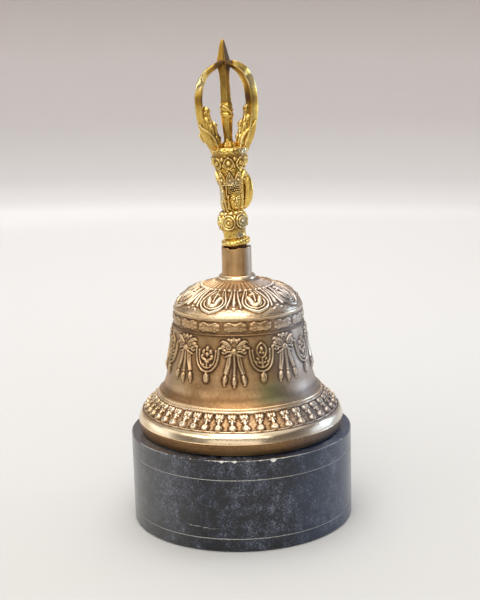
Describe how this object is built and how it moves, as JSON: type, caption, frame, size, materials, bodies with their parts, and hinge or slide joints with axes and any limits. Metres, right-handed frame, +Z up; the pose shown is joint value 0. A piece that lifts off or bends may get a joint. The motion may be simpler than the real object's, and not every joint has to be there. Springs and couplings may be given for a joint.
{
  "type": "hand bell with vajra handle on a stone plinth",
  "caption": "Cast bronze ritual hand bell with lotus and garland relief, a brass half-vajra handle and a hanging clapper, standing on a round polished stone plinth.",
  "frame": {"origin": "on the plinth's axis, at the surface that the plinth stands on", "axes": "+Z up along the bell and the handle, +X towards the right-hand prong as seen from the front, -Y towards the front"},
  "size_m": [0.1076, 0.1076, 0.2302],
  "materials": {
    "dark_stone": "polished, finely mottled dark grey-blue stone",
    "green_felt": "thin glued felt",
    "bell_bronze": "rubbed bronze with brown patina in the recesses",
    "handle_brass": "polished yellow brass with brown recesses",
    "plain_steel": "plain drawn steel",
    "clapper_brass": "turned brass, dulled"
  },
  "bodies": {
    "plinth": {"stone_base": "dark_stone", "base_felt": "green_felt"},
    "bell": {"bell_shell": "bell_bronze", "neck_collar": "bell_bronze", "neck_ferrule": "bell_bronze", "grip_foot": "handle_brass", "grip_head": "handle_brass", "lotus_seat": "handle_brass", "prong_left": "handle_brass", "prong_right": "handle_brass", "centre_prong": "handle_brass", "crown_stud": "plain_steel", "crown_washer": "plain_steel", "crown_nut": "plain_steel", "hanger_eye": "plain_steel"},
    "link": {"clapper_link": "plain_steel"},
    "clapper": {"clapper_stem": "plain_steel", "clapper_ball": "clapper_brass"}
  },
  "joints": [
    {"name": "bell_lift", "type": "slide", "parent": "plinth", "child": "bell", "axis": [0, 0, 1], "range_m": [0, 0.15]},
    {"name": "link_swing", "type": "hinge", "parent": "bell", "child": "link", "pos_m": [0, 0, 0.0947], "axis": [0, 1, 0], "range_deg": [-31, 31]},
    {"name": "clapper_swing", "type": "hinge", "parent": "link", "child": "clapper", "pos_m": [0, 0, 0.0877], "axis": [1, 0, 0], "range_deg": [-34, 34]}
  ]
}
